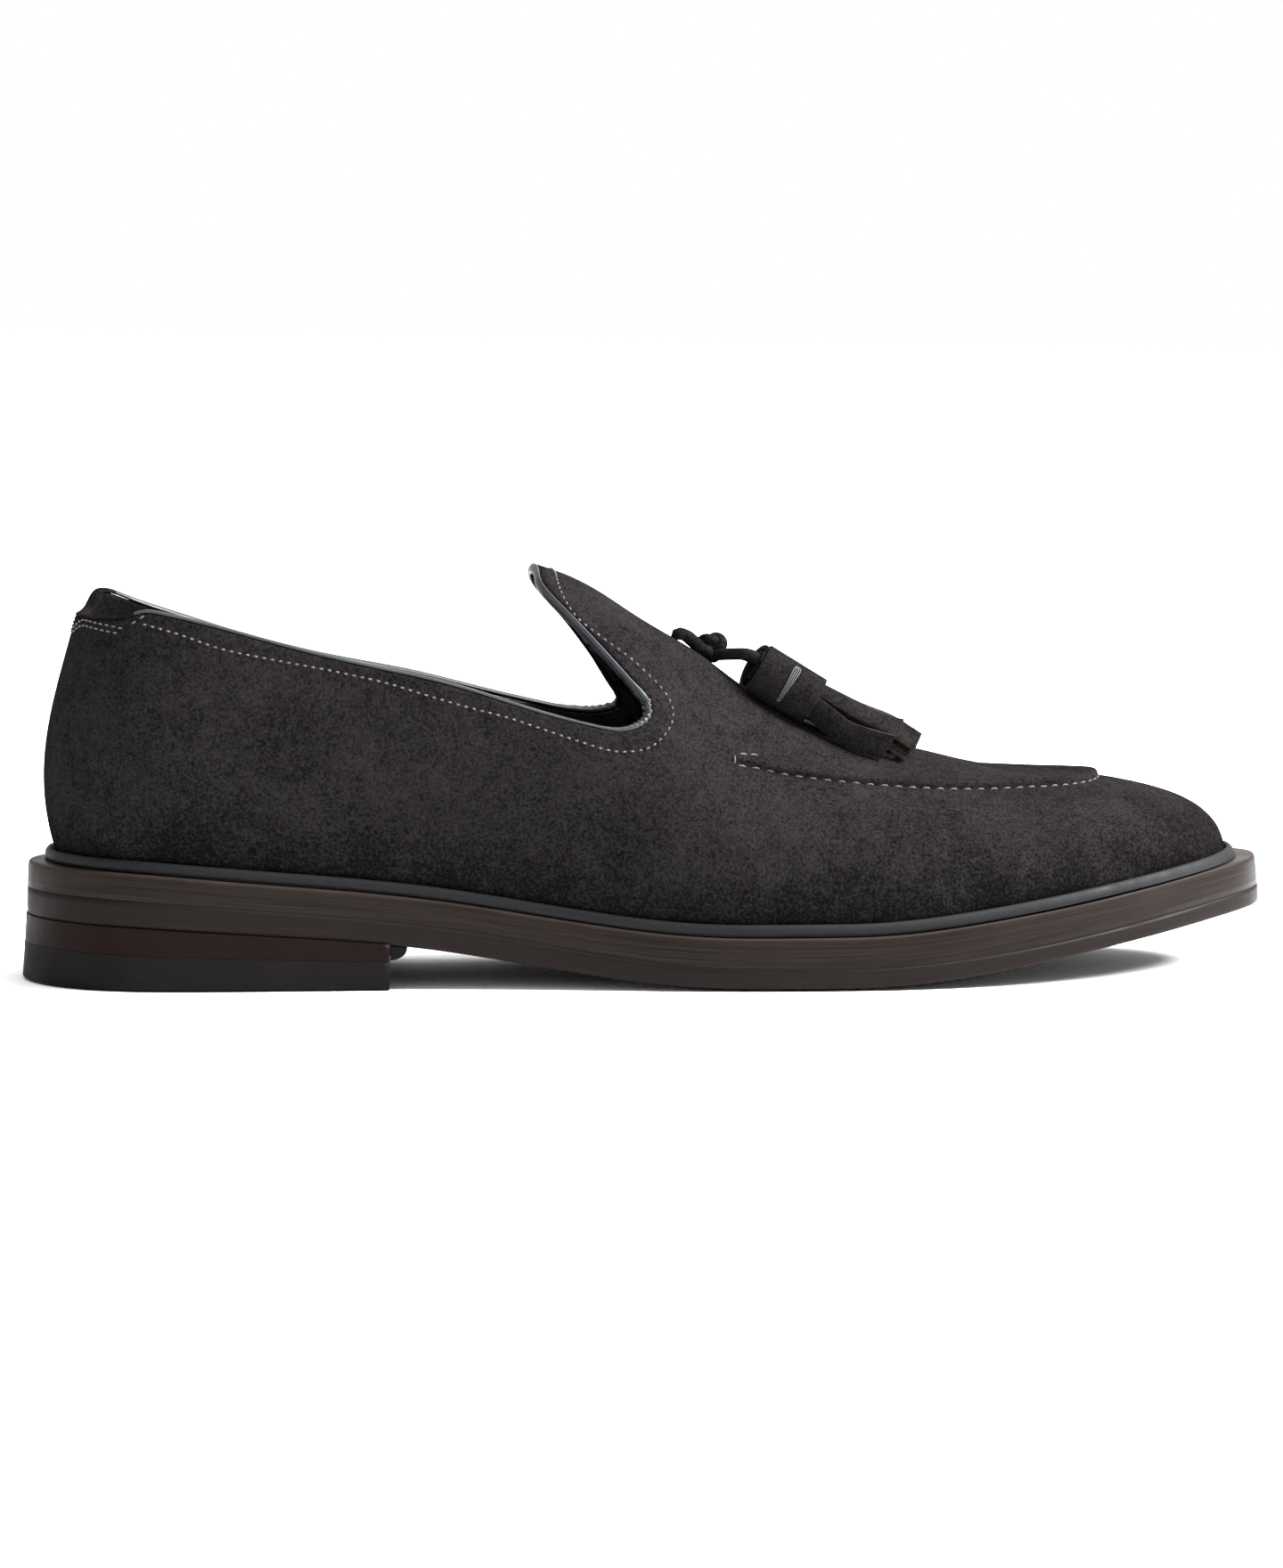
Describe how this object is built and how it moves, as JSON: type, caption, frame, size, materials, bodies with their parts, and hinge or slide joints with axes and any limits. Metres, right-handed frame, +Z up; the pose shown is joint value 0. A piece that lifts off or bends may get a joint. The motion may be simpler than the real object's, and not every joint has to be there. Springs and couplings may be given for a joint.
{
  "type": "tassel loafer",
  "caption": "Right tassel loafer in dark grey-brown suede with a raised apron seam, twin tassels on a knotted thong, a bound collar and a layered dark brown sole with a low stacked heel.",
  "frame": {"origin": "middle of the heel's flat underside, on the floor", "axes": "+X runs forward to the toe, +Y points to the inner side of the foot, +Z points up"},
  "size_m": [0.3115, 0.1058, 0.101],
  "materials": {
    "suede": "matte",
    "binding_leather": "satin",
    "insole_leather": "satin",
    "rand_rubber": "satin",
    "midsole_leather": "satin",
    "outsole_rubber": "satin",
    "heel_leather": "satin",
    "top_piece_rubber": "satin"
  },
  "bodies": {
    "root": {"upper": "suede", "collar_binding": "binding_leather", "insole": "insole_leather", "rand": "rand_rubber", "midsole": "midsole_leather", "outsole": "outsole_rubber", "heel_stack": "heel_leather", "top_piece": "top_piece_rubber", "heel_cove": "top_piece_rubber", "tassel_outer": "suede", "tassel_inner": "suede", "thong": "suede"}
  },
  "joints": []
}
